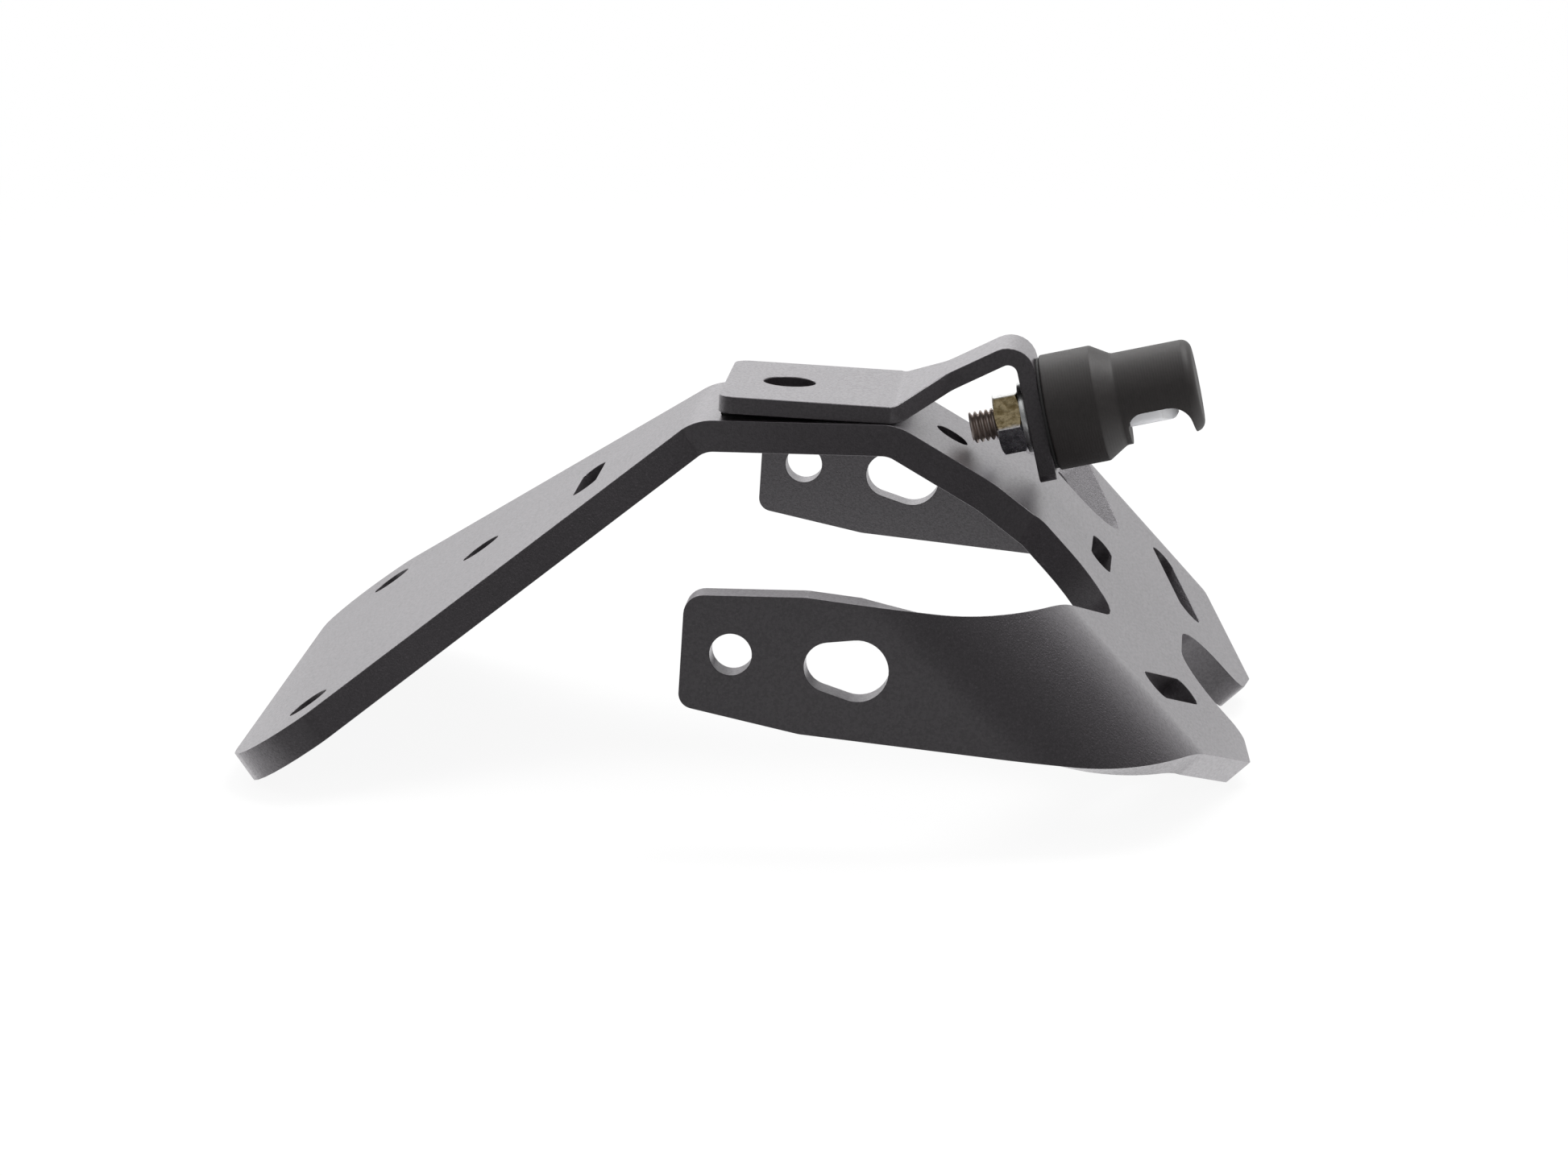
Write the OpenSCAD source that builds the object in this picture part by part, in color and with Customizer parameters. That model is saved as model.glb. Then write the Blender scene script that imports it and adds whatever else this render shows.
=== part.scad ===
// Motorcycle license plate holder: one folded and compound-bent aluminium sheet that hangs under
// the tail by two side arms and carries the plate on its wide panel, with a small bracket on its
// flat top that holds a turned license plate lamp. It is drawn standing on the lower edge of
// the panel and on the two prongs of its base: +X points to the prongs, +Z is up.

/* [Main plate] */
// Thickness of the sheet
plate_t = 4; // [3.5:0.1:4.5]
// Inside radius of the three folds across the sheet
fold_r = 3; // [2:0.5:4]
// Height of the flat top above the surface that the holder stands on
stand_h = 42.3; // [40:0.5:48]
// Slope of the license panel
panel_angle = 35.5; // [33:0.5:38]
// Slope of the ramp behind the flat
ramp_angle = 30; // [27:0.5:33]
// Slope of the base that carries the arms
base_angle = 47.4; // [45:0.2:49]
// Length of the flat between its two folds
flat_l = 25.2; // [24:0.2:29]
// Length of the ramp between its two folds
ramp_l = 21.2; // [19:0.2:23]
// Width of the strip from the panel to the ramp
strip_w = 27; // [24:0.5:32]
// Width of the strip where it reaches the base
neck_w = 35.2; // [33:0.2:38]
// Length over which the strip widens at the foot of the ramp
flare_l = 6; // [4:0.5:8]
// Radius of the corners where it widens
flare_r = 4; // [2:0.5:5]

/* [License panel] */
// Greatest width of the panel
panel_w = 89.5; // [84:0.5:100]
// Length of the panel's parallel sides, rounded corners included
side_l = 12.6; // [12.5:0.1:18]
// Radius where the taper meets the sides
side_r = 5; // [2:0.5:5]
// Radius of the panel's lower corners
corner_r = 11; // [4:0.5:11]
// Distance between the two plate holes
plate_hole_gap = 70; // [60:1:76]
// Diameter of the plate holes
plate_hole_d = 5.5; // [4:0.1:7]
// Distance of the plate holes from the panel's lower edge
plate_hole_edge = 11.3; // [8:0.1:15]
// Diameter of the single hole above the plate holes
upper_hole_d = 5.5; // [4:0.1:7]
// Distance of the single hole from the first fold
upper_hole_l = 36; // [30:0.5:42]
// Sideways place of the single hole
upper_hole_y = 3.9; // [0:0.1:8]
// Distance of the cross slot from the first fold
cross_slot_l = 18.2; // [12:0.2:24]
// Length of the cross slot
cross_slot_w = 14.5; // [10:0.5:20]
// Width of both cross slots
cross_slot_t = 3.6; // [3:0.1:5]

/* [Flat and ramp] */
// Diameter of the bolt hole through flat, pad and lamp bracket
bolt_hole_d = 6.6; // [5:0.1:7]
// Diameter of the hole in the ramp
ramp_hole_d = 4.5; // [3:0.1:6]
// Distance of the ramp hole from the top of the ramp
ramp_hole_l = 7.3; // [6:0.1:10]

/* [Base] */
// Distance of the cross slot from the foot of the ramp
base_slot_l = 10.7; // [8:0.1:14]
// Length of the base's cross slot
base_slot_w = 12.5; // [8:0.5:16]
// Half distance between the tips of the prongs
prong_y = 22.3; // [20:0.1:26]
// Depth of the round-cornered notch between the prongs
notch_l = 13.2; // [9:0.2:16]
// Width of the notch
notch_w = 24; // [20:0.5:28]
// Radius of the notch's inner corners
notch_r = 7.5; // [4:0.5:9]
// How far the prongs' inner corners stand back from their tips
prong_back = 1.4; // [0.5:0.1:3]
// Radius of the prongs' inner corners
prong_r = 3; // [1:0.5:4]
// Radius of the prongs' outer corners
prong_tip_r = 1; // [0.5:0.1:1.5]
// Distance along the base from its fold to where the arms' upper edge would meet the strip
wing_root = 17; // [15:0.5:19]
// Radius between the strip and the arms
root_r = 8; // [5:0.5:9]
// Angle of the arms' first stretch to the fold, laid flat
wing_angle = 21.8; // [19:0.2:24]
// Distance of the slanted side slots from the middle
side_slot_y = 29.4; // [27:0.2:31]
// Distance of the slanted side slots from the fold
side_slot_l = 24.6; // [23:0.2:26]
// Length of the side slots
side_slot_w = 18.4; // [14:0.2:20]
// Width of the side slots
side_slot_t = 4.2; // [3:0.1:5]

/* [Side arms] */
// Width over the outer faces of the arms
arms_w = 119; // [112:1:126]
// Outside radius of the bend that turns the base into the arms
bend_r = 16; // [12:0.5:18]
// Distance from the middle, measured round the bend, to where the arms turn
turn_y = 57.3; // [55:0.1:60]
// Radius of that turn
turn_r = 35; // [20:1:40]
// Angle of the arms' upper edge after the turn
arm_top_angle = 49; // [47:0.2:51]
// Angle of the arms' lower edge after the turn
arm_low_angle = 48.2; // [46:0.2:50]
// Distance round the bend to the break in the upper edge
arm_top_y = 72.8; // [71:0.1:75]
// Distance round the bend to the break in the lower edge
arm_low_y = 84.5; // [82:0.1:87]
// Radius of both breaks
arm_break_r = 6; // [2:0.5:8]
// Length of the upper edge past its break
tip_top_l = 14.3; // [13:0.1:18]
// Angle of the upper edge past its break
tip_top_angle = 42.3; // [40:0.5:46]
// Length of the lower edge past its break
tip_low_l = 14.6; // [13:0.1:18]
// Angle of the lower edge past its break
tip_low_angle = 54.7; // [52:0.5:57]
// Radius of the upper corner of an arm's end
tip_top_r = 2.4; // [1:0.2:4]
// Radius of the lower corner of an arm's end
tip_low_r = 1.8; // [1:0.2:4]
// Diameter of the round fixing holes
arm_hole_d = 5; // [4:0.1:7]
// Distance of the round fixing holes past the break of the upper edge
arm_hole_l = 8; // [6:0.1:9]
// Distance of the fixing holes below the upper edge
arm_hole_drop = 8; // [6:0.1:9]
// Distance of the egg-shaped holes before the break of the upper edge
egg_l = 3.7; // [2.5:0.1:5]
// Distance between the two centres of an egg-shaped hole
egg_shift = 3.3; // [2:0.1:5]
// Radius of the narrow end of the egg-shaped holes
egg_small_r = 3; // [2:0.1:3.5]
// Radius of the wide end of the egg-shaped holes
egg_large_r = 3.7; // [3:0.1:4]

/* [Lamp bracket] */
// Thickness of the bracket
bracket_t = 2.2; // [1.5:0.1:3]
// Width of the part that lies on the flat
bracket_w = 26; // [20:0.5:30]
// Width of the upright tab
tab_w = 10.5; // [9:0.5:13]
// Length of the part that lies on the flat
bracket_flat_l = 22.1; // [18:0.1:23]
// Tilt of that part, which squeezes the pad towards the ramp
bracket_tilt = 2.3; // [1:0.1:3]
// How far the first bend stands past the line where the bracket touches the flat
bracket_past = 1.4; // [1:0.1:3]
// Angle at which the bracket rises
rise_angle = 26.6; // [22:0.2:30]
// Length of the rise
rise_l = 18; // [16:0.2:20]
// Length of the tab
tab_l = 18.8; // [18:0.1:22]
// Inside radius of the first bend
bracket_low_r = 2; // [1:0.5:3]
// Inside radius of the bend at the crest
crest_r = 1.2; // [1:0.2:2]
// Radius of the bracket's corners
bracket_corner_r = 2; // [1:0.2:3]
// Radius of the corners at the foot of the tab
tab_corner_r = 1; // [0.5:0.1:2]
// Distance up the rise at which the bracket has narrowed to the width of the tab
shoulder_l = 6.5; // [4:0.5:9]
// Distance of the bolt hole from the bracket's free end
bracket_hole_l = 8; // [6:0.1:11]
// Distance of the pad's end from the bracket's first bend
pad_back = 7.6; // [6:0.2:9]
// How far the pad peeps out at the bracket's free end
pad_out = 0.5; // [0:0.1:1]
// How far the pad stays inside the bracket's sides
pad_in = 1.5; // [1:0.1:3]

/* [Lamp] */
// Slope of the lamp's axis
lamp_tilt = 12.8; // [8:0.2:16]
// Distance of the lamp's axis from the crest
lamp_drop = 11; // [10.6:0.1:11.4]
// Thickness of the rubber gasket
gasket_t = 0.4; // [0.3:0.1:1]
// Diameter of the lamp's body
body_d = 14.8; // [13:0.1:15.4]
// Length of the lamp's body
body_l = 6.5; // [6:0.1:8]
// Radius of the body's edge at the gasket
body_r = 0.3; // [0.1:0.1:0.6]
// Length of the cone between body and hood
cone_l = 2.45; // [1.5:0.05:3]
// Radius between body and cone
cone_start_r = 0.6; // [0.2:0.1:1]
// Radius between cone and hood
cone_end_r = 1; // [0.4:0.1:1.4]
// Diameter of the hood
hood_d = 11.8; // [11:0.1:13]
// Whole length of the lamp
lamp_l = 19.1; // [19:0.1:21]
// Radius of the hood's rounded end
hood_r = 1.3; // [0.5:0.1:2]
// Where the window under the hood starts
window_start = 9.7; // [9.3:0.1:10]
// Where the window ends at the hood's rim
window_end = 17.9; // [17.6:0.1:18.1]
// How much shorter the window is at its ceiling than at the rim
window_lean = 0.5; // [0.2:0.1:0.8]
// Distance of the window's ceiling below the axis
ceiling = 1.35; // [1:0.05:1.5]
// Radius of the window's inner end
window_in_r = 2; // [1:0.1:2.2]
// Radius of the window's outer end
window_out_r = 2.8; // [1:0.1:3]
// Width of the seat of board and lens
seat_w = 6; // [5.4:0.1:6.2]
// Length of that seat from the window's inner end to its round end
seat_x = 6.6; // [6.4:0.1:6.8]
// Depth of that seat
seat_l = 2.8; // [2.6:0.1:3.2]
// Thickness of the circuit board
board_t = 0.8; // [0.6:0.1:1]
// Side of the square light emitting diode
led_w = 2.8; // [2:0.1:3]
// Height of the light emitting diode
led_h = 0.8; // [0.6:0.1:1]
// How far the lens stands out of the ceiling
lens_out = 2.5; // [1.5:0.1:2.8]
// Radius of the lens's edge
lens_r = 1; // [0.6:0.1:1.2]

/* [Fasteners] */
// Diameter of the hollow threaded stud
stud_d = 4; // [3:0.1:4.4]
// Bore of the stud, which lets the wires out
stud_bore = 1.8; // [1:0.1:2.4]
// Length of the stud past the nut
stud_out = 3.4; // [2:0.1:5]
// Length of the stud inside the lamp
stud_in = 4; // [3:0.1:5]
// Width across the flats of the nut
nut_w = 7.5; // [6.5:0.1:8]
// Height of the nut
nut_h = 3.3; // [2.4:0.1:4]
// How far the nut is turned about the stud
nut_turn = 43; // [0:1:60]
// Diameter of the washer
washer_d = 9; // [8:0.1:10]
// Thickness of the washer
washer_t = 0.8; // [0.5:0.1:1.2]
// Clearance of holes round the stud and of pieces in their seats
gap = 0.15; // [0.1:0.05:0.25]
// How far the gasket stays inside the edge of the lamp's body
gasket_in = 0.3; // [0.1:0.1:0.5]

/* [Hidden] */
$fn = 64;
arc_steps = 8;      // straight pieces in each rounded corner of an outline
bend_steps = 28;    // straight pieces round the bend of an arm
cut = 1;            // how far a cutter reaches past what it cuts

fold_out = fold_r + plate_t;
panel_set = fold_out * tan(panel_angle / 2);
ramp_set = fold_out * tan(ramp_angle / 2);
base_turn = base_angle - ramp_angle;
base_set = fold_out * tan(base_turn / 2);
// The panel and the base end where their lower edges reach the surface they stand on
panel_l = (stand_h - plate_t * cos(panel_angle)) / sin(panel_angle);
base_l = (stand_h - ramp_l * sin(ramp_angle) - plate_t * cos(base_angle)) / sin(base_angle);

// Places of the three folds, with the origin under the middle of the overall length
reach_left = panel_l * cos(panel_angle);
reach_right = flat_l + ramp_l * cos(ramp_angle) + base_l * cos(base_angle);
fold1_x = (reach_left - reach_right) / 2;
fold2_x = fold1_x + flat_l;
fold3_x = fold2_x + ramp_l * cos(ramp_angle);
fold3_z = stand_h - ramp_l * sin(ramp_angle);

// The bend of the arms, measured from the middle of the base
bend_start = arms_w / 2 - bend_r;
bend_in = bend_r - plate_t;
bend_end = bend_start + bend_r * PI / 2;
// Corners of the arms' upper and lower edges, laid flat as [distance from the fold, from the middle]
top_turn = [wing_root - tan(wing_angle) * (turn_y - neck_w / 2), turn_y];
low_turn = [base_l - tan(wing_angle) * (turn_y - prong_y), turn_y];
arm_angle = (arm_top_angle + arm_low_angle) / 2;

touch_x = fold2_x - ramp_set;
led_z = gasket_t + window_start + seat_x / 2;

// Unit vector from a to b
function toward(a, b) = (b - a) / norm(b - a);

// A closed outline whose corners are rounded: each corner is [x, y, radius]
function rounded(corners) = [
    for (i = [0 : len(corners) - 1])
        let (n = len(corners),
             p = [corners[i][0], corners[i][1]],
             a = [corners[(i + n - 1) % n][0], corners[(i + n - 1) % n][1]],
             b = [corners[(i + 1) % n][0], corners[(i + 1) % n][1]],
             r = corners[i][2],
             u = toward(p, a), v = toward(p, b),
             half = acos(u * v) / 2,
             middle = p + toward([0, 0], u + v) * r / sin(half),
             start = p + u * r / tan(half),
             side = cross(u, v) > 0 ? -1 : 1)
        for (k = [0 : r > 0 ? arc_steps : 0])
            r > 0
            ? middle + turned(start - middle, side * k / arc_steps * (180 - 2 * half))
            : p
];

// A vector turned about the origin
function turned(v, angle) = [v[0] * cos(angle) - v[1] * sin(angle), v[0] * sin(angle) + v[1] * cos(angle)];

// Unit vectors along a downward slope and out of its upper face, seen from the side
function way(slope) = [cos(slope), -sin(slope)];
function up(slope) = [sin(slope), cos(slope)];

// A folded sheet is a row of sections. Each holds the corners of the sheet's cross-section at the
// point p of its upper face, seen from the side, where it slopes down and has the half width given.
function section(p, slope, half, t) =
    let (q = p - t * up(slope))
    [[p[0], -half, p[1]], [p[0], half, p[1]], [q[0], half, q[1]], [q[0], -half, q[1]]];

// Sections of a flat leg whose outline is given as [distance from the corner v, half width]
function leg(v, slope, outline, t) = [for (o = outline) section(v + o[0] * way(slope), slope, o[1], t)];

// Sections round the fold at the corner v, from slope a to slope b with the inside radius r
function fold(v, a, b, r, half_a, half_b, t) =
    let (side = sign(b - a),
         top_r = b > a ? r + t : r,
         centre = v - top_r * tan(abs(b - a) / 2) * way(a) - side * top_r * up(a))
    [for (k = [0 : arc_steps])
        let (f = k / arc_steps, slope = (1 - f) * a + f * b)
        section(centre + side * top_r * up(slope), slope, (1 - f) * half_a + f * half_b, t)];

// The solid through a row of sections
module through(sections) {
    last = 4 * len(sections) - 4;
    polyhedron([for (s = sections) each s], concat(
        [[3, 2, 1, 0]],
        [for (k = [0 : 4 : last - 4], j = [0 : 3]) [k + j, k + (j + 1) % 4, k + 4 + (j + 1) % 4, k + 4 + j]],
        [[last, last + 1, last + 2, last + 3]]));
}

// The corners of a half outline that lie off its first and last point, rounded
function half_outline(corners) =
    let (closed = rounded(corners))
    [for (i = [1 : len(closed) - 2]) closed[i]];

// Outline of one half and its mirror image about the x axis
function both_sides(half) = concat(half, [for (i = [len(half) - 1 : -1 : 0]) [half[i][0], -half[i][1], half[i][2]]]);

// Edge of an arm laid flat: distance from the fold at the distance y from the middle.
// It runs straight at wing_angle, turns on an arc at the corner c and leaves at the angle a.
function arm_edge(y, c, a) =
    let (l = turn_r * tan((a - wing_angle) / 2),
         y0 = c[1] - l * cos(wing_angle),
         s0 = c[0] + l * sin(wing_angle),
         y1 = c[1] + l * cos(a))
    y < y0 ? c[0] - tan(wing_angle) * (y - c[1]) :
    y > y1 ? c[0] - tan(a) * (y - c[1]) :
    let (sine = sin(wing_angle) + (y - y0) / turn_r)
    s0 + turn_r * (sqrt(1 - sine * sine) - cos(wing_angle));
function top_edge(y) = arm_edge(y, top_turn, arm_top_angle);
function low_edge(y) = arm_edge(y, low_turn, arm_low_angle);

// Slot with round ends, along y
module slot(length, width) {
    for (side = [-1, 1]) translate([0, side * (length - width) / 2]) circle(d = width);
    square([width, length - width], center = true);
}

// Egg-shaped hole: two circles and the straight tangents between them, along x
module egg(r0, r1, shift) {
    lean = asin((r1 - r0) / shift);
    circle(r0);
    translate([shift, 0]) circle(r1);
    polygon([for (side = [-1, 1], end = [0, 1])
        let (r = [r0, r1][side < 0 ? end : 1 - end], x = [0, shift][side < 0 ? end : 1 - end])
        [x - r * sin(lean), side * r * cos(lean)]]);
}

// Frames of the faces of the main plate: x runs down the slope, z leaves the upper face
module on_panel() translate([fold1_x, 0, stand_h]) mirror([1, 0, 0]) rotate([0, panel_angle, 0]) children();
module on_ramp() translate([fold2_x, 0, stand_h]) rotate([0, ramp_angle, 0]) children();
module on_base() translate([fold3_x, 0, fold3_z]) rotate([0, base_angle, 0]) children();
// Frame of an arm laid back on the base's own flat drawing: z runs from its outer to its inner face
module on_arm() translate([0, -arms_w / 2, -bend_r]) rotate([-90, 0, 0]) translate([0, -bend_end, 0]) children();
// Frame at the break of an arm's upper edge: x runs to the arm's tip, y towards the upper edge
module at_arm_break() translate([top_edge(arm_top_y), arm_top_y, 0]) rotate([0, 0, 90 + arm_angle]) children();

module sheet(thickness) translate([0, 0, -thickness]) linear_extrude(thickness) children();
module drill(d, depth) translate([0, 0, -depth - cut]) cylinder(d = d, h = depth + 2 * cut);

module base_outline() {
    polygon(rounded(both_sides([
        [base_set, neck_w / 2, 0],
        [wing_root, neck_w / 2, root_r],
        [top_edge(bend_start), bend_start, 0],
        [low_edge(bend_start), bend_start, 0],
        [base_l, prong_y, prong_tip_r],
        [base_l - prong_back, notch_w / 2, prong_r],
        [base_l - notch_l, notch_w / 2, notch_r]])));
}

// Panel, flat and ramp as one folded strip, from the edge on the ground to the level base
module folded_strip() {
    panel_slope = -base_angle - panel_angle;
    fold2 = -ramp_l * way(-base_turn);
    fold1 = fold2 - flat_l * way(-base_angle);
    strip = strip_w / 2;
    neck = neck_w / 2;
    panel = half_outline([
        [-panel_l, 0, 0], [-panel_l, panel_w / 2, corner_r], [side_l - panel_l, panel_w / 2, side_r],
        [-panel_set, strip, 0]]);
    flare = half_outline([
        [0, 0, 0], [ramp_set, strip, 0], [ramp_l - base_set - flare_l, strip, flare_r],
        [ramp_l - base_set, neck, 0]]);
    through(concat(
        leg(fold1, panel_slope, panel, plate_t),
        fold(fold1, panel_slope, -base_angle, fold_r, strip, strip, plate_t),
        fold(fold2, -base_angle, -base_turn, fold_r, strip, strip, plate_t),
        leg(fold2, -base_turn, [for (i = [1 : len(flare) - 1]) flare[i]], plate_t),
        fold([0, 0], -base_turn, 0, fold_r, neck, neck, plate_t)));
}

// The bend between base and arm. The sheet is cut flat and then bent, so each ring across it
// is a rectangle between the two edges at its own distance round the bend.
module arm_bend() through([
    for (k = [0 : bend_steps])
        let (f = k / bend_steps,
             y = (1 - f) * bend_start + f * bend_end)
        [for (corner = [[top_edge(y), bend_r], [low_edge(y), bend_r], [low_edge(y), bend_in], [top_edge(y), bend_in]])
            [corner[0], -bend_start - corner[1] * sin(90 * f), corner[1] * cos(90 * f) - bend_r]]]);

module arm_outline() {
    top = [top_edge(arm_top_y), arm_top_y];
    low = [low_edge(arm_low_y), arm_low_y];
    end_top = top + tip_top_l * [-sin(tip_top_angle), cos(tip_top_angle)];
    end_low = low + tip_low_l * [-sin(tip_low_angle), cos(tip_low_angle)];
    polygon(rounded([
        [top_edge(bend_end), bend_end, 0],
        [top[0], top[1], arm_break_r],
        [end_top[0], end_top[1], tip_top_r],
        [end_low[0], end_low[1], tip_low_r],
        [low[0], low[1], arm_break_r],
        [low_edge(bend_end), bend_end, 0]]));
}

module arm_holes() {
    at_arm_break() {
        translate([arm_hole_l, -arm_hole_drop, plate_t]) drill(arm_hole_d, plate_t);
        translate([-egg_l, -arm_hole_drop, -cut]) linear_extrude(plate_t + 2 * cut)
            mirror([1, 0]) egg(egg_small_r, egg_large_r, egg_shift);
    }
}

module main_plate() color([0.09, 0.09, 0.1]) {
    difference() {
        union() {
            on_base() folded_strip();
            on_base() sheet(plate_t) base_outline();
            on_base() for (m = [0, 1]) mirror([0, m, 0]) {
                arm_bend();
                on_arm() linear_extrude(plate_t) arm_outline();
            }
        }
        on_panel() {
            for (side = [-1, 1]) translate([panel_l - plate_hole_edge, side * plate_hole_gap / 2, 0])
                drill(plate_hole_d, plate_t);
            translate([upper_hole_l, upper_hole_y, 0]) drill(upper_hole_d, plate_t);
            translate([cross_slot_l, 0, cut]) sheet(plate_t + 2 * cut) slot(cross_slot_w, cross_slot_t);
        }
        at_bracket_hole() translate([0, 0, -bracket_t]) drill(bolt_hole_d, 2 * plate_t);
        on_ramp() translate([ramp_hole_l, 0, 0]) drill(ramp_hole_d, plate_t);
        on_base() {
            translate([base_slot_l, 0, cut]) sheet(plate_t + 2 * cut) slot(base_slot_w, cross_slot_t);
            for (side = [-1, 1]) translate([side_slot_l, side * side_slot_y, cut])
                rotate([0, 0, side * wing_angle]) sheet(plate_t + 2 * cut) slot(side_slot_w, side_slot_t);
            for (m = [0, 1]) mirror([0, m, 0]) on_arm() arm_holes();
        }
    }
}

// Frames of the lamp bracket, each at the corner of its upper faces
module at_first_bend()
    translate([touch_x, 0, stand_h]) rotate([0, bracket_tilt, 0]) translate([bracket_past, 0, bracket_t]) children();
module on_rise() at_first_bend() rotate([0, -bracket_tilt - rise_angle, 0]) children();
module at_crest() on_rise() translate([rise_l, 0, 0]) rotate([0, rise_angle + 90 - lamp_tilt, 0]) children();
module at_bracket_hole() at_first_bend() translate([bracket_hole_l - bracket_flat_l, 0, 0]) children();
// Frame of the lamp: z is its axis, x points to its underside
module at_lamp() at_crest() translate([lamp_drop, 0, 0]) children();

module light_bracket() color([0.1, 0.1, 0.11]) {
    wide = bracket_w / 2;
    narrow = tab_w / 2;
    rise_slope = -rise_angle - bracket_tilt;
    tab_slope = 90 - lamp_tilt - bracket_tilt;
    low_set = bracket_low_r * tan(-rise_slope / 2);
    shoulder = wide - (wide - narrow) * 2 * low_set / (shoulder_l + low_set);
    crest = rise_l * way(rise_slope);
    end = half_outline([
        [-bracket_flat_l, 0, 0], [-bracket_flat_l, wide, bracket_corner_r], [0, wide, 0]]);
    rise = half_outline([
        [0, 0, 0], [low_set, shoulder, 0], [shoulder_l, narrow, bracket_corner_r], [rise_l, narrow, 0]]);
    foot = half_outline([
        [0, narrow, 0], [tab_l, narrow, tab_corner_r], [tab_l, 0, 0]]);
    difference() {
        at_first_bend() through(concat(
            leg([0, 0], 0, end, bracket_t),
            fold([0, 0], 0, rise_slope, bracket_low_r, wide, shoulder, bracket_t),
            leg([0, 0], rise_slope, [for (i = [1 : len(rise) - 1]) rise[i]], bracket_t),
            fold(crest, rise_slope, tab_slope, crest_r, narrow, narrow, bracket_t),
            leg(crest, tab_slope, foot, bracket_t)));
        at_bracket_hole() drill(bolt_hole_d, bracket_t);
        at_lamp() drill(stud_d + 2 * gap, bracket_t);
    }
}

// Soft pad between the flat and the tilted bracket
module bracket_pad() color([0.03, 0.03, 0.03]) {
    first = touch_x - (bracket_flat_l - bracket_past + pad_out) * cos(bracket_tilt);
    last = touch_x - pad_back;
    w = bracket_w - 2 * pad_in;
    difference() {
        translate([0, w / 2, 0]) rotate([90, 0, 0]) linear_extrude(w) polygon([
            for (x = [first, last]) [x, stand_h],
            for (x = [last, first]) [x, stand_h + (touch_x - x) * tan(bracket_tilt)]]);
        at_bracket_hole() translate([0, 0, -bracket_t]) drill(bolt_hole_d, plate_t);
    }
}

module lamp_gasket() color([0.02, 0.02, 0.02]) at_lamp() difference() {
    cylinder(r = body_d / 2 - gasket_in, h = gasket_t);
    translate([0, 0, gasket_t]) drill(stud_d + 2 * gap, gasket_t);
}

// Turned body, cone and hood, with the window cut from below and the round seat of the lens
module lamp_housing() color([0.08, 0.08, 0.08]) at_lamp() difference() {
    translate([0, 0, gasket_t]) rotate_extrude() polygon([for (p = rounded([
        [0, 0, 0], [body_d / 2, 0, body_r], [body_d / 2, body_l, cone_start_r],
        [hood_d / 2, body_l + cone_l, cone_end_r], [hood_d / 2, lamp_l, hood_r], [0, lamp_l, 0]]))
        [max(p[0], 0), p[1]]]);
    translate([0, body_d / 2, gasket_t]) rotate([90, 0, 0]) linear_extrude(body_d) polygon(rounded([
        [body_d, window_start, 0], [ceiling, window_start, window_in_r],
        [ceiling, window_end - window_lean, window_out_r], [hood_d / 2, window_end, 0], [body_d, window_end, 0]]));
    at_seat_in_lamp() linear_extrude(seat_l + window_in_r) seat_outline(0);
    cylinder(d = stud_bore, h = led_z);
    translate([0, 0, -cut]) cylinder(d = stud_d + 2 * gap, h = gasket_t + stud_in + cut);
}

// Frame of the seat on its floor: z points down out of the window, x back to the window's inner end
module at_seat_in_lamp() translate([ceiling - seat_l, 0, led_z]) rotate([0, 90, 0]) children();
module at_seat() at_lamp() at_seat_in_lamp() children();

// Outline of the seat, round at its far end, or of what lies in it with a clearance all round
module seat_outline(clear) {
    r = seat_w / 2 - clear;
    middle = seat_w / 2 - seat_x / 2;
    translate([middle, 0]) circle(r);
    translate([middle, -r]) square([seat_x / 2 - clear - middle, 2 * r]);
}

module lamp_board() color([0.05, 0.3, 0.12]) at_seat() linear_extrude(board_t) seat_outline(gap);

module lamp_led() color([0.95, 0.9, 0.6]) at_seat()
    translate([-led_w / 2, -led_w / 2, board_t]) cube([led_w, led_w, led_h]);

// The lens fills its seat and has round edges where it stands out of the ceiling
module lamp_lens() color([0.92, 0.92, 0.95]) at_seat() translate([0, 0, board_t + led_h]) {
    lens_h = seat_l - board_t - led_h + lens_out;
    half_w = seat_w / 2 - gap;
    half_x = seat_x / 2 - gap;
    intersection() {
        linear_extrude(lens_h) seat_outline(gap);
        translate([-half_x, 0, 0]) rotate([90, 0, 90]) linear_extrude(2 * half_x) polygon(rounded([
            [-half_w, 0, 0], [half_w, 0, 0], [half_w, lens_h, lens_r], [-half_w, lens_h, lens_r]]));
        translate([0, half_w, 0]) rotate([90, 0, 0]) linear_extrude(2 * half_w) polygon(rounded([
            [-half_x, 0, 0], [half_x, 0, 0], [half_x, lens_h, 0], [-half_x, lens_h, lens_r]]));
    }
}

module lamp_stud() color([0.25, 0.2, 0.15]) at_lamp() difference() {
    out = bracket_t + washer_t + nut_h + stud_out;
    translate([0, 0, -out]) cylinder(d = stud_d, h = out + gasket_t + stud_in);
    translate([0, 0, gasket_t + stud_in]) drill(stud_bore, out + gasket_t + stud_in);
}

module lamp_washer() color([0.75, 0.75, 0.78]) at_lamp() translate([0, 0, -bracket_t]) difference() {
    translate([0, 0, -washer_t]) cylinder(d = washer_d, h = washer_t);
    drill(stud_d + 2 * gap, washer_t);
}

module lamp_nut() color([0.72, 0.62, 0.35]) at_lamp() translate([0, 0, -bracket_t - washer_t]) difference() {
    tip_r = nut_w / 2 / cos(30);
    bevel = (tip_r - nut_w / 2) * tan(30);
    intersection() {
        translate([0, 0, -nut_h]) rotate([0, 0, nut_turn]) cylinder(r = tip_r, h = nut_h, $fn = 6);
        translate([0, 0, -nut_h]) rotate_extrude() polygon([
            [0, 0], [nut_w / 2, 0], [tip_r, bevel], [tip_r, nut_h - bevel], [nut_w / 2, nut_h], [0, nut_h]]);
    }
    drill(stud_d, nut_h);
}

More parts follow.
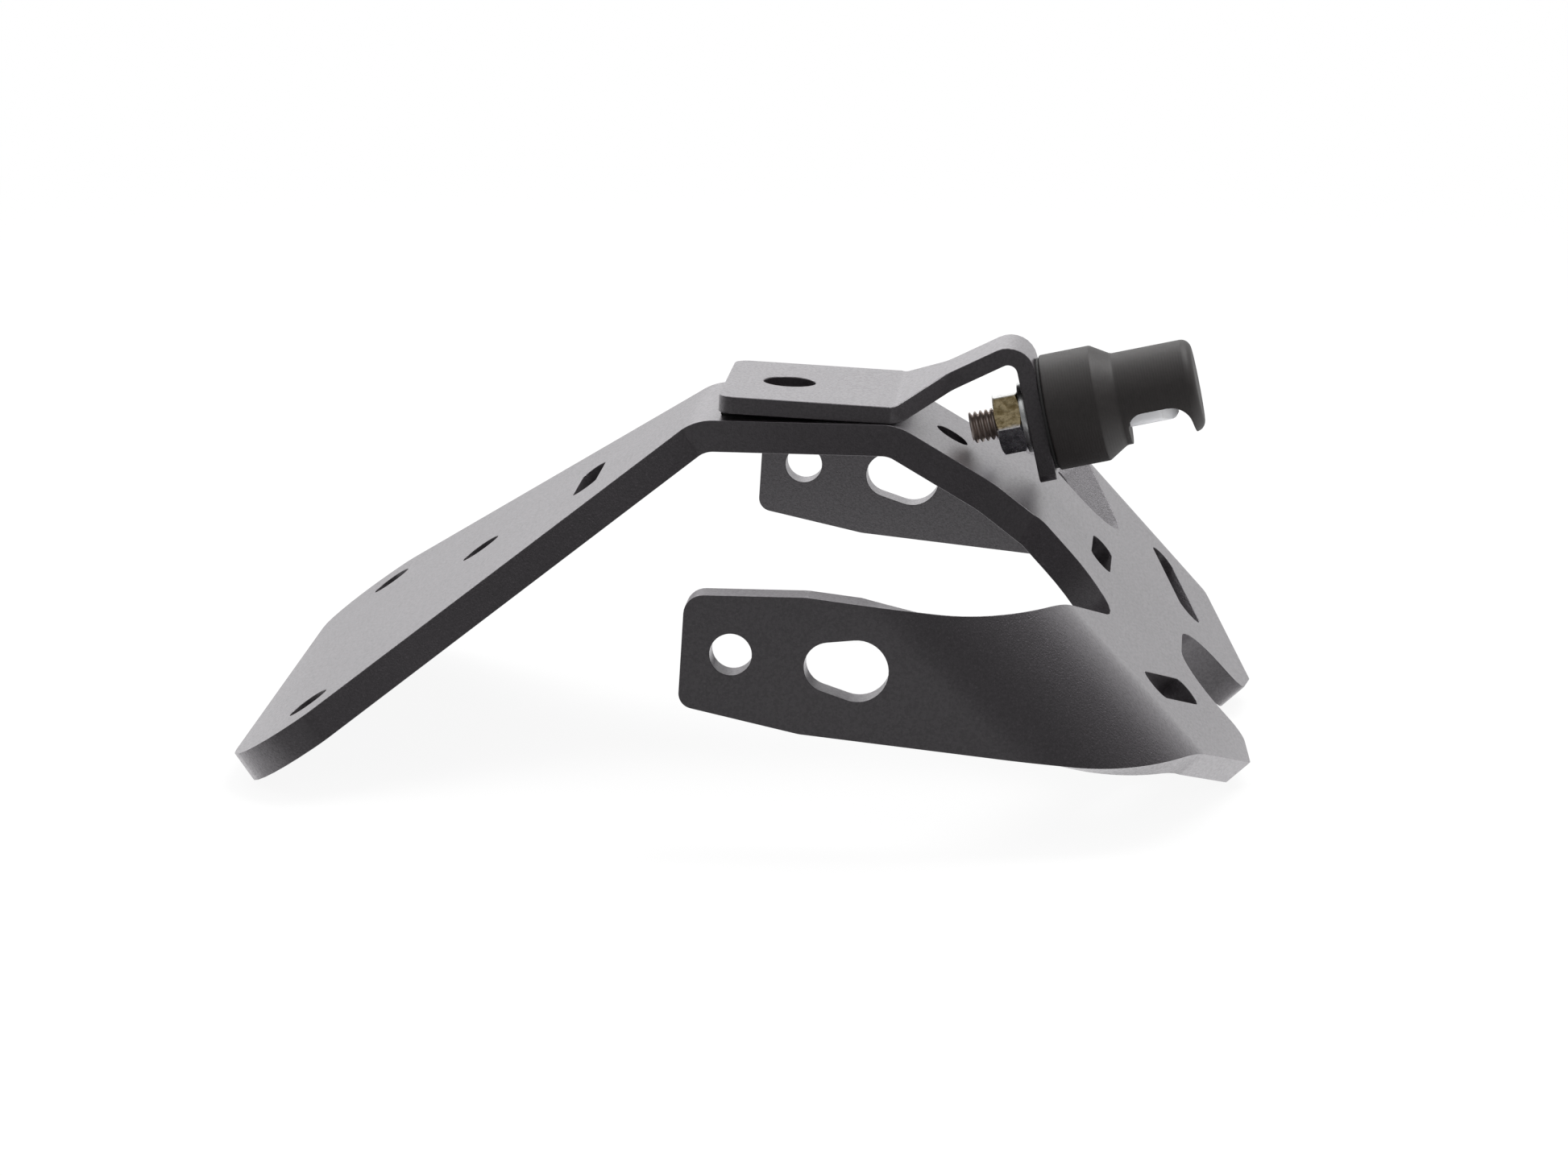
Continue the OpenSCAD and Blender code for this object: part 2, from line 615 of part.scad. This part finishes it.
main_plate();
light_bracket();
bracket_pad();
lamp_gasket();
lamp_housing();
lamp_lens();
lamp_board();
lamp_led();
lamp_stud();
lamp_washer();
lamp_nut();
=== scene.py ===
import math

import bmesh
import bpy
from mathutils import Matrix, Vector


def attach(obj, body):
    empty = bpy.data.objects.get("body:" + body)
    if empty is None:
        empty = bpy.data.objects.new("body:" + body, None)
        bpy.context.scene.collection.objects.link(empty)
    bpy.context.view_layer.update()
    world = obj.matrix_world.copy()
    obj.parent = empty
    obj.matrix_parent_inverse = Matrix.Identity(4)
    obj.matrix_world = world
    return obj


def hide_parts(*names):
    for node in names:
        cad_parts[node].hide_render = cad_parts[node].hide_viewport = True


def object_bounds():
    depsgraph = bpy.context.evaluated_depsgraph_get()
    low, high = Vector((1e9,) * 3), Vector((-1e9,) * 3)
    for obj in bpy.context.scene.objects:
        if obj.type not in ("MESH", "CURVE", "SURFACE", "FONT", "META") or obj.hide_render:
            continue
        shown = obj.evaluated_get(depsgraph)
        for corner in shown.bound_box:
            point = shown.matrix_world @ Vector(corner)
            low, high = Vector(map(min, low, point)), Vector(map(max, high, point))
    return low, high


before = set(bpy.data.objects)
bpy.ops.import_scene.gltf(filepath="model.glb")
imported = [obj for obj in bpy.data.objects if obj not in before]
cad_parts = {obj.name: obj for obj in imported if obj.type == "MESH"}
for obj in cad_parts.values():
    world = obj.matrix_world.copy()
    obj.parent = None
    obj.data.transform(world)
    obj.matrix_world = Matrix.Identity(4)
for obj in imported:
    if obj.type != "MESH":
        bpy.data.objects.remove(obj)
cad_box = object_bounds()

MM = 0.001

# Axis of the lamp: z runs along it from the bracket's face to the hood, x to the lamp's underside
LAMP_TILT = math.radians(12.8)
LAMP_FACE = Vector((35.602, 0, 41.775)) * MM
LAMP = Matrix.Translation(LAMP_FACE) @ Matrix((
    (math.sin(LAMP_TILT), 0, math.cos(LAMP_TILT), 0),
    (0, 1, 0, 0),
    (-math.cos(LAMP_TILT), 0, math.sin(LAMP_TILT), 0),
    (0, 0, 0, 1)))

# Sizes of the fasteners, in millimetres, as in the part's source
BRACKET_T = 2.2
WASHER_T = 0.8
NUT_H = 3.3
STUD_D, STUD_BORE, STUD_OUT, STUD_IN = 4, 1.8, 3.4, 4.4

# Thread of the stud, in millimetres. The last three lie along one pitch.
PITCH, THREAD_DEPTH = 0.7, 0.43
ROOT_END, CREST_START, CREST_END = 0.09, 0.31, 0.48
THREAD_STEPS = 40

# Where the dressed pieces depart from their solids
PAD_LENGTH, PAD_WIDTH = 0.9, 0.84       # shares of the solid's, to stay under the bracket
LENS_OUT = 0.89                         # share of the height by which the lens stands out
NUT_TURN = math.radians(-9)

# Points that lie closer than this are one point
WELD = 0.002 * MM


# ---------------------------------------------------------------- camera and lamps

def make_camera():
    """Camera that was fitted to the photograph's edges and holes."""
    lens = bpy.data.cameras.new("camera")
    lens.lens = 128.18
    lens.sensor_width = 36
    lens.clip_start, lens.clip_end = 0.05, 20
    camera = bpy.data.objects.new("camera", lens)
    bpy.context.scene.collection.objects.link(camera)
    place = Vector((55.285, -695.11, 173.37)) * MM
    right = Vector((0.996858, 0.078285, 0.012005))
    up = Vector((-0.028700, 0.215776, 0.976021))
    back = Vector((0.073817, -0.973300, 0.217344))
    turn = Matrix((right, up, back)).transposed()
    camera.matrix_world = Matrix.Translation(place) @ turn.to_4x4()
    bpy.context.scene.camera = camera


def make_lamp(name, place, size, power):
    """Large soft lamp that points at the middle of the part."""
    light = bpy.data.lights.new(name, "AREA")
    light.shape = "DISK"
    light.size = size
    light.energy = power
    lamp = bpy.data.objects.new(name, light)
    bpy.context.scene.collection.objects.link(lamp)
    lamp.location = place
    aim = Vector((0, 0, 0.02)) - Vector(place)
    lamp.rotation_euler = aim.to_track_quat("-Z", "Y").to_euler()


# ---------------------------------------------------------------- shader nodes

class Value:
    """Shader socket that can be used in sums; an expression on values adds its Math nodes."""

    def __init__(self, nodes, socket):
        self.nodes, self.socket = nodes, socket

    def _math(self, operation, *terms):
        return self.nodes.node("ShaderNodeMath", dict(operation=operation), *terms)

    def __add__(self, other): return self._math("ADD", self, other)
    def __sub__(self, other): return self._math("SUBTRACT", self, other)
    def __rsub__(self, other): return self._math("SUBTRACT", other, self)
    def __mul__(self, other): return self._math("MULTIPLY", self, other)
    __radd__, __rmul__ = __add__, __mul__

    def part(self, name):
        """Another output of the same node."""
        return Value(self.nodes, self.socket.node.outputs[name])


class Nodes:
    """Node tree of a material or of the world."""

    def __init__(self, owner):
        owner.use_nodes = True
        self.tree = owner.node_tree

    def node(self, kind, settings=None, *values, **named):
        """New node: its settings, then its sockets by place or name. Returns its first output."""
        made = self.tree.nodes.new(kind)
        for key, setting in (settings or {}).items():
            setattr(made, key, setting)
        for place, value in [*enumerate(values), *named.items()]:
            key = place if isinstance(place, int) else place.replace("_", " ")
            self.feed(made.inputs[key], value)
        outputs = [o for o in made.outputs if o.enabled]
        return Value(self, outputs[0]) if outputs else None

    def feed(self, socket, value):
        """A link to a value, or else a constant on the socket."""
        if isinstance(value, Value):
            self.tree.links.new(value.socket, socket)
        else:
            socket.default_value = value

    def mix(self, factor, low, high):
        """Blend of two colours, each a tuple or a value."""
        made = self.tree.nodes.new("ShaderNodeMix")
        made.data_type = "RGBA"
        colours = [s for s in made.inputs if s.type == "RGBA"]
        self.feed(made.inputs["Factor"], factor)
        for socket, colour in zip(colours, (low, high)):
            self.feed(socket, (*colour, 1) if isinstance(colour, tuple) else colour)
        return Value(self, next(s for s in made.outputs if s.type == "RGBA"))

    def ramp(self, value, low, high):
        """0 below low, 1 above high, smooth between them."""
        return self.node("ShaderNodeMapRange", dict(interpolation_type="SMOOTHSTEP"),
                         Value=value, From_Min=low, From_Max=high)

    def bands(self, value, start, *steps):
        """Start below the first step; each step (low, high, change) adds its change smoothly."""
        total = start
        for low, high, change in steps:
            total = total + change * self.ramp(value, low, high)
        return total


class Finish(Nodes):
    """Material with a Principled shader. The keywords are the constants of its own sockets."""

    def __init__(self, name, **constants):
        self.material = bpy.data.materials.new(name)
        super().__init__(self.material)
        self.shader = self.tree.nodes["Principled BSDF"]
        self.set(**constants)

    def set(self, **sockets):
        for key, value in sockets.items():
            self.feed(self.shader.inputs[key.replace("_", " ")], value)

    def place(self, **mapping):
        """Object coordinates, in metres, centred, turned or stretched by the mapping."""
        point = self.node("ShaderNodeTexCoord").part("Object")
        return self.node("ShaderNodeMapping", None, Vector=point, **mapping) if mapping else point

    def noise(self, point, scale, detail=2, roughness=0.5):
        return self.node("ShaderNodeTexNoise", None, Vector=point, Scale=scale, Detail=detail,
                         Roughness=roughness)

    def bump(self, height, strength, distance):
        self.set(Normal=self.node("ShaderNodeBump", None, Height=height, Strength=strength,
                                  Distance=distance))


# ---------------------------------------------------------------- finishes

LAVENDER = (0.985, 0.945, 1.0, 1)      # faint cast of the coat's gloss


def powder_coat(name, tone, seed=0.0):
    """Satin black powder coat with a fine grain and slightly cloudy gloss."""
    coat = Finish(name, IOR=1.5, Coat_Roughness=0.3, Coat_IOR=1.55,
                  Coat_Tint=LAVENDER, Specular_Tint=LAVENDER)
    point = coat.place(Location=(seed, seed, seed))
    grain = coat.noise(point, scale=4400, roughness=0.55)
    cloud = coat.noise(point, scale=90, detail=4)
    specks = coat.ramp(coat.noise(point, scale=4000, detail=1), 0.55, 0.75)
    dull = coat.ramp(coat.noise(point, scale=2700, roughness=0.6), 0.42, 0.62)
    dark, light, fleck = (tuple(share * t for t in tone) for share in (0.7, 1.3, 2.8))
    coat.set(Base_Color=coat.mix(specks * 0.5, coat.mix(cloud, dark, light), fleck),
             Roughness=0.24 + 0.22 * grain + 0.08 * cloud,
             Coat_Weight=1 - 0.3 * dull)
    coat.bump(grain, strength=1.0, distance=0.00008)
    return coat.material


def lamp_paint():
    """Smooth matte black of the turned lamp, with faint turning lines round its axis."""
    paint = Finish("lamp_black", IOR=1.47, Coat_Roughness=0.5, Coat_Weight=0.04)
    axis = paint.place(Rotation=(0, LAMP_TILT, 0))
    lines = paint.node("ShaderNodeTexWave", dict(wave_type="BANDS", bands_direction="X"),
                       Vector=axis, Scale=900, Distortion=2.0, Detail=2)
    mottle = paint.noise(axis, scale=1200, detail=3)
    paint.set(Base_Color=paint.mix(mottle, (0.013, 0.0105, 0.0102), (0.0215, 0.018, 0.0172)),
              Roughness=0.5 + 0.12 * mottle)
    paint.bump(0.3 * lines + mottle, strength=0.2, distance=0.00006)
    return paint.material


def foam():
    """Black foam with open cells."""
    pad = Finish("black_foam", IOR=1.4)
    cells = pad.node("ShaderNodeTexVoronoi", None, Vector=pad.place(), Scale=2600)
    pad.set(Base_Color=pad.mix(cells, (0.008, 0.008, 0.008), (0.035, 0.035, 0.035)),
            Roughness=0.8 + 0.15 * cells)
    pad.bump(cells, strength=0.8, distance=0.0002)
    return pad.material


def rubber():
    """Dull black rubber."""
    ring = Finish("black_rubber", IOR=1.5)
    grain = ring.noise(ring.place(), scale=1800, detail=3)
    ring.set(Base_Color=ring.mix(grain, (0.006, 0.006, 0.006), (0.018, 0.018, 0.018)),
             Roughness=0.6 + 0.2 * grain)
    ring.bump(grain, strength=0.4, distance=0.0001)
    return ring.material


def lens_plastic():
    """Milky clear plastic with faint flow marks."""
    lens = Finish("lens_plastic", IOR=1.49, Transmission_Weight=0.12, Coat_Weight=0.4,
                  Coat_Roughness=0.08)
    flow = lens.noise(lens.place(), scale=320, detail=4)
    lens.set(Base_Color=lens.mix(flow, (0.86, 0.87, 0.9), (0.95, 0.95, 0.97)),
             Roughness=0.16 + 0.12 * flow)
    lens.bump(flow, strength=0.1, distance=0.0002)
    return lens.material


def plated(name, dark, light, roughness):
    """Plated steel with a fine brushed grain and blotches of tone."""
    steel = Finish(name, Metallic=1.0)
    blotch = steel.noise(steel.place(), scale=900, detail=4, roughness=0.6)
    grain = steel.noise(steel.place(Scale=(0.2, 1, 1)), scale=5000)
    steel.set(Base_Color=steel.mix(blotch, dark, light), Roughness=roughness + 0.15 * blotch)
    steel.bump(grain, strength=0.25, distance=0.00004)
    return steel.material


def yellow_zinc():
    """Yellow chromated zinc in mottled gold, with a painted highlight in near white on the nut's
    top and a bluish grey on its lower half, partly the plating's tint and partly painted light.
    """
    steel = Finish("yellow_zinc_and_painted_light", Metallic=1.0)
    point = steel.place()
    blotch = steel.ramp(steel.noise(point, scale=1400, detail=4, roughness=0.65), 0.3, 0.7)
    axis_level = LAMP_FACE.z * math.cos(LAMP_TILT) - LAMP_FACE.x * math.sin(LAMP_TILT)
    turned = steel.node("ShaderNodeSeparateXYZ", None, steel.place(Rotation=(0, LAMP_TILT, 0)))
    height = turned.part("Z") - axis_level
    # The nut's lower half below the stud's axis is painted a lighter bluish grey: partly the
    # plating's own tint, partly painted light on its lower faces
    border = height + 0.0008 * steel.noise(point, scale=500, detail=3)
    lower = 1 - steel.ramp(border, -0.0001, 0.0006)
    # Painted highlight: the nut's top faces, more than 3.4 mm above the stud's axis, are painted
    # near white
    painted_highlight_top = steel.ramp(height, 0.0034, 0.0037)
    gold = steel.mix(blotch, (0.17, 0.125, 0.055), (0.5, 0.41, 0.25))
    painted_highlight_white = (0.97, 0.98, 0.98)
    lower_tint_and_painted_light = steel.mix(blotch, (0.65, 0.65, 0.7), (0.95, 0.95, 1.0))
    steel.set(Base_Color=steel.mix(lower, steel.mix(painted_highlight_top, gold, painted_highlight_white), lower_tint_and_painted_light),
              Roughness=0.2 + 0.12 * blotch)
    steel.bump(blotch, strength=0.3, distance=0.00005)
    return steel.material


def circuit_board():
    """Green board with slightly raised copper tracks under its varnish."""
    board = Finish("circuit_board", IOR=1.5)
    wander = board.noise(board.place(), scale=1500, detail=1)
    tracks = board.ramp(wander, 0.48, 0.52)
    board.set(Base_Color=board.mix(tracks, (0.01, 0.08, 0.03), (0.03, 0.16, 0.06)),
              Roughness=0.35 + 0.1 * wander)
    board.bump(tracks, strength=0.3, distance=0.00005)
    return board.material


def phosphor():
    """Yellow phosphor of the light emitting diode."""
    chip = Finish("led_phosphor", IOR=1.5)
    grain = chip.noise(chip.place(), scale=3500)
    chip.set(Base_Color=chip.mix(grain, (0.8, 0.62, 0.12), (0.92, 0.8, 0.3)),
             Roughness=0.3 + 0.1 * grain)
    chip.bump(grain, strength=0.2, distance=0.00005)
    return chip.material


# ---------------------------------------------------------------- pieces

def new_object(name, shape):
    """Object at the origin with the bmesh as its mesh."""
    mesh = bpy.data.meshes.new(name)
    shape.to_mesh(mesh)
    shape.free()
    made = bpy.data.objects.new(name, mesh)
    bpy.context.scene.collection.objects.link(made)
    return made


def finish_piece(name, shape, material, node, crease=32):
    """Piece that stands for one CAD node, shaded smooth except over its creases (degrees)."""
    limit = math.radians(crease)
    for face in shape.faces:
        face.smooth = True
    for edge in shape.edges:
        edge.smooth = not edge.is_manifold or edge.calc_face_angle() < limit
    piece = new_object(name, shape)
    piece.data.materials.append(material)
    flat = piece.modifiers.new("even_faces", "WEIGHTED_NORMAL")
    flat.keep_sharp = True
    flat.weight = 100
    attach(piece, "root")
    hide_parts(node)


def merged(node, flat=0.3):
    """Copy of a CAD node's mesh with its doubles merged and its flat faces (degrees) joined."""
    shape = bmesh.new()
    shape.from_mesh(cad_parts[node].data)
    bmesh.ops.remove_doubles(shape, verts=shape.verts[:], dist=WELD)
    bmesh.ops.dissolve_limit(shape, angle_limit=math.radians(flat),
                             verts=shape.verts[:], edges=shape.edges[:])
    return shape


def soften(shape, width, segments, crease):
    """Rounds every edge that is sharper than the crease (degrees), width in millimetres."""
    limit = math.radians(crease)
    edges = [e for e in shape.edges if e.is_manifold and e.calc_face_angle() > limit]
    bmesh.ops.bevel(shape, geom=edges, offset=width * MM, offset_type="OFFSET", segments=segments,
                    profile=0.5, affect="EDGES", clamp_overlap=True, material=-1)


def dressed(name, node, material, edge, segments=3, crease=30, fit=None, axes=LAMP):
    """The CAD node's own shape with rounded edges. A fit scales or turns it in the given axes."""
    shape = merged(node)
    soften(shape, edge, segments, crease)
    if fit:
        bmesh.ops.transform(shape, matrix=axes.inverted(), verts=shape.verts[:])
        low = Vector(tuple(min(v.co[i] for v in shape.verts) for i in range(3)))
        high = Vector(tuple(max(v.co[i] for v in shape.verts) for i in range(3)))
        bmesh.ops.transform(shape, matrix=axes @ fit(low, high), verts=shape.verts[:])
    finish_piece(name, shape, material, node)


def about(point, change):
    """A change that leaves this point where it is."""
    return Matrix.Translation(point) @ change @ Matrix.Translation(-point)


def pad_fit(low, high):
    """Makes the pad smaller about its middle."""
    return about((low + high) / 2, Matrix.Diagonal((PAD_LENGTH, PAD_WIDTH, 1, 1)))


def lens_fit(low, high):
    """Lowers the lens, whose seat is at the low end of x."""
    return about(low, Matrix.Diagonal((LENS_OUT, 1, 1, 1)))


def nut_fit(low, high):
    """Turns the nut round the stud."""
    return Matrix.Rotation(NUT_TURN, 4, "Z")


def threaded_stud(material):
    """Hollow stud with a helical thread, made by spinning the thread's profile round the axis."""
    low, high = -(BRACKET_T + WASHER_T + NUT_H + STUD_OUT), STUD_IN
    crest, root = STUD_D / 2, STUD_D / 2 - THREAD_DEPTH
    one_turn = ((root, 0.0), (root, ROOT_END), (crest, CREST_START), (crest, CREST_END))
    shape = bmesh.new()
    profile = []
    # At 2 pitches below, a corner lies in the cut, and the faces of that end come out crossed
    start = low - 1.9 * PITCH
    for turn in range(int((high - low) / PITCH) + 3):
        z = start + turn * PITCH
        profile += [shape.verts.new((radius * MM, 0, (z + step) * MM)) for radius, step in one_turn]
    edges = [shape.edges.new(pair) for pair in zip(profile, profile[1:])]
    bmesh.ops.spin(shape, geom=profile + edges, cent=(0, 0, 0), axis=(0, 0, 1),
                   dvec=(0, 0, PITCH * MM / THREAD_STEPS), angle=math.tau, steps=THREAD_STEPS,
                   use_merge=False)
    bmesh.ops.remove_doubles(shape, verts=shape.verts[:], dist=WELD)
    for z, side in ((low, -1), (high, 1)):
        bmesh.ops.bisect_plane(shape, geom=shape.verts[:] + shape.edges[:] + shape.faces[:],
                               plane_co=(0, 0, z * MM), plane_no=(0, 0, side), clear_outer=True)
    for z in (low, high):
        rim = [e for e in shape.edges
               if e.is_boundary and all(abs(v.co.z - z * MM) < 1e-7 for v in e.verts)]
        bore = bmesh.ops.create_circle(shape, segments=THREAD_STEPS, radius=STUD_BORE / 2 * MM,
                                       matrix=Matrix.Translation((0, 0, z * MM)))["verts"]
        inner = list({e for v in bore for e in v.link_edges})
        bmesh.ops.bridge_loops(shape, edges=rim + inner)
    bmesh.ops.bridge_loops(shape, edges=[e for e in shape.edges if e.is_boundary])
    bmesh.ops.recalc_face_normals(shape, faces=shape.faces[:])
    bmesh.ops.transform(shape, matrix=LAMP, verts=shape.verts[:])
    finish_piece("stud", shape, material, "lamp_stud", crease=28)


def make_pieces():
    """Every piece of the holder. Edge radii are in millimetres."""
    coat = powder_coat("black_powder_coat", (0.0135, 0.012, 0.0125))
    bracket_coat = powder_coat("black_powder_coat_bracket", (0.014, 0.0125, 0.013), seed=0.3)
    bright_zinc = plated("zinc_plating", (0.7, 0.72, 0.72), (0.92, 0.93, 0.93), roughness=0.2)
    dark_steel = plated("dark_steel", (0.4, 0.34, 0.31), (0.85, 0.74, 0.68), roughness=0.4)

    dressed("plate_sheet", "main_plate", coat, edge=0.65)
    dressed("bracket_sheet", "light_bracket", bracket_coat, edge=0.5)
    dressed("foam_pad", "bracket_pad", foam(), edge=0.2, segments=2,
            fit=pad_fit, axes=Matrix())
    dressed("gasket", "lamp_gasket", rubber(), edge=0.1, segments=2)
    dressed("lamp_body", "lamp_housing", lamp_paint(), edge=0.15, segments=2,
            crease=40)
    dressed("lens", "lamp_lens", lens_plastic(), edge=0.1, segments=2, crease=40,
            fit=lens_fit)
    dressed("washer", "lamp_washer", bright_zinc, edge=0.12, segments=2)
    dressed("nut", "lamp_nut", yellow_zinc(), edge=0.15, segments=2,
            fit=nut_fit)
    threaded_stud(dark_steel)
    for node, finish in (("lamp_board", circuit_board()), ("lamp_led", phosphor())):
        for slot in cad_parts[node].material_slots:
            slot.material = finish


# ---------------------------------------------------------------- floor and surroundings

def make_floor():
    """White round floor of 4 m radius that keeps the part's soft shadow."""
    shape = bmesh.new()
    bmesh.ops.create_circle(shape, cap_ends=True, segments=96, radius=4)
    floor = new_object("floor", shape)
    floor.location.z = cad_box[0].z - 0.2 * MM

    paper = Finish("floor_white", Base_Color=(0.95, 0.95, 0.95, 1), Roughness=0.9,
                   Specular_IOR_Level=0.0)
    path = paper.node("ShaderNodeLightPath")
    seen = path.part("Is Camera Ray")
    mirrored = paper.node("ShaderNodeMath", dict(operation="MAXIMUM"),
                          path.part("Is Glossy Ray"), path.part("Is Transmission Ray"))
    point = paper.place()
    reach = paper.node("ShaderNodeVectorMath", dict(operation="LENGTH"), point).part("Value")
    depth = paper.node("ShaderNodeSeparateXYZ", None, point).part("Y")
    # What polished surfaces mirror of the floor, from the camera's side to the far side
    mirror = paper.bands(depth, 0.25, (-0.21, -0.17, 0.42), (-0.125, -0.09, -0.31),
                         (-0.058, -0.042, 0.85), (0, 0.1, -0.4))
    white = paper.node("ShaderNodeEmission", None, Color=(1, 1, 1, 1),
                       Strength=seen + (1 - seen) * mirror)
    # The camera sees white paper with a little of its shade, which fades out away from the part
    share = seen * paper.bands(reach, 0.91, (0.12, 0.5, 0.09)) + (1 - seen) * mirrored
    lit = Value(paper, paper.shader.outputs["BSDF"])
    surface = paper.node("ShaderNodeMixShader", None, share, lit, white)
    paper.feed(paper.tree.nodes["Material Output"].inputs["Surface"], surface)
    floor.data.materials.append(paper.material)


def make_world():
    """White for the camera. Gloss mirrors a white wall behind the part and a dim room before it."""
    world = bpy.data.worlds.new("studio")
    bpy.context.scene.world = world
    sky = Nodes(world)
    way = sky.node("ShaderNodeTexCoord").part("Generated")
    split = sky.node("ShaderNodeSeparateXYZ", None, way)
    x, y, z = (split.part(axis) for axis in "XYZ")
    across = sky.bands(x, 1.03, (-0.3, -0.1, 0.24), (-0.06, 0.16, -0.37))
    wall = across * sky.ramp(y, 0.05, 0.6) * sky.bands(z, 0.86, (0, 0.25, 0.2))
    room = sky.bands(z, 0.18, (0.3, 1.0, 0.62))
    path = sky.node("ShaderNodeLightPath")
    seen, glossy = path.part("Is Camera Ray"), path.part("Is Glossy Ray")
    mirrored = wall + (1 - wall) * room
    even_light = 0.8       # what lights the part and the floor, apart from the lamps
    strength = seen + (1 - seen) * (glossy * mirrored + (1 - glossy) * even_light)
    background = sky.tree.nodes["Background"]
    sky.feed(background.inputs["Color"], (1, 1, 1, 1))
    sky.feed(background.inputs["Strength"], strength)


bpy.context.scene.view_settings.view_transform = "Standard"
make_camera()
make_pieces()
make_floor()
make_world()
make_lamp("soft_top", place=(0.35, 0.25, 1.1), size=0.7, power=9)
make_lamp("soft_back", place=(-0.5, 0.9, 0.9), size=0.6, power=4)
